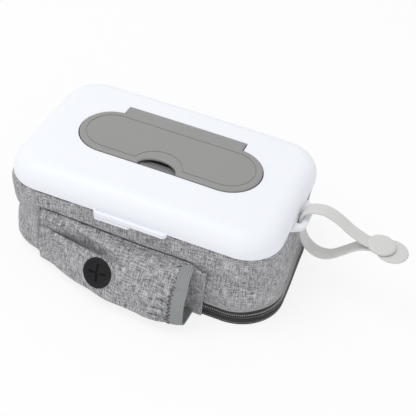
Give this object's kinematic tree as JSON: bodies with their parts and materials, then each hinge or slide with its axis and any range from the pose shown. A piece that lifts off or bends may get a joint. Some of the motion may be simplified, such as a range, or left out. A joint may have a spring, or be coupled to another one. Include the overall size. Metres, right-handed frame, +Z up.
{
  "type": "wipes dispenser",
  "caption": "Wipes dispenser case with a flip door in its lid, on a zipped fabric pouch with a bag roll pocket and a silicone hand strap.",
  "frame": {"origin": "on the rest face, below the centre of the wipes case's outline", "axes": "+X along the case towards the hand strap, +Y towards the lid hinges at the back, +Z up"},
  "size_m": [0.2805, 0.1583, 0.0802],
  "materials": {
    "lid_white": "satin white moulded plastic",
    "door_grey": "satin mid grey moulded plastic",
    "frame_grey": "satin dark grey moulded plastic",
    "tray_white": "satin white moulded plastic",
    "seal_rubber": "soft pale rubber",
    "pouch_fabric": "heather grey woven polyester",
    "lining_fabric": "smooth dark lining",
    "base_fabric": "heather grey woven polyester",
    "board_plastic": "black stiffening board",
    "zip_tape": "black zip tape",
    "zip_coil": "dark moulded coil",
    "zip_metal": "black enamelled metal",
    "piping_fabric": "light grey piping",
    "elastic_grey": "ribbed grey elastic",
    "grommet_rubber": "matt black rubber",
    "washer_black": "black plastic",
    "strap_silicone": "smooth light grey silicone",
    "pin_steel": "plain steel wire"
  },
  "bodies": {
    "base": {"base_panel": "base_fabric", "base_board": "board_plastic", "zip_tape_lower": "zip_tape", "zip_coil_lower": "zip_coil", "zip_stops_lower": "zip_metal", "hinge_gusset": "base_fabric"},
    "pouch": {"pouch_wall": "pouch_fabric", "pouch_lining": "lining_fabric", "zip_tape_upper": "zip_tape", "zip_coil_upper": "zip_coil", "zip_stops_upper": "zip_metal", "zip_piping": "piping_fabric", "pocket_backing": "pouch_fabric", "pocket_sleeve": "pouch_fabric", "pocket_binding": "elastic_grey", "outlet_grommet": "grommet_rubber", "outlet_washer": "washer_black", "case_tray": "tray_white", "lid_seal": "seal_rubber", "lid_hinge_pins": "pin_steel"},
    "lid": {"case_lid": "lid_white", "door_frame": "frame_grey", "door_hinge_pin": "pin_steel"},
    "door": {"flip_door": "door_grey", "door_seal": "seal_rubber"},
    "strap": {"hand_strap": "strap_silicone"},
    "slider": {"zip_slider": "zip_metal"},
    "pull": {"zip_pull": "zip_metal"}
  },
  "joints": [
    {"name": "pouch_open", "type": "hinge", "parent": "base", "child": "pouch", "pos_m": [-0.101, 0, 0.0127], "axis": [0, -1, 0], "range_deg": [0, 70]},
    {"name": "lid_hinge", "type": "hinge", "parent": "pouch", "child": "lid", "pos_m": [0, 0.0661, 0.0625], "axis": [-1, 0, 0], "range_deg": [0, 110]},
    {"name": "door_hinge", "type": "hinge", "parent": "lid", "child": "door", "pos_m": [0, 0.0312, 0.0763], "axis": [-1, 0, 0], "range_deg": [0, 100]},
    {"name": "strap_swing", "type": "hinge", "parent": "pouch", "child": "strap", "pos_m": [0.1022, 0, 0.0607], "axis": [0, -1, 0], "range_deg": [-6, 24]},
    {"name": "slider_slide", "type": "slide", "parent": "pouch", "child": "slider", "axis": [1, 0, 0], "range_m": [0, 0.118]},
    {"name": "pull_swing", "type": "hinge", "parent": "slider", "child": "pull", "pos_m": [-0.0544, 0.0658, 0.0081], "axis": [0, 0, -1], "range_deg": [0, 165]}
  ]
}
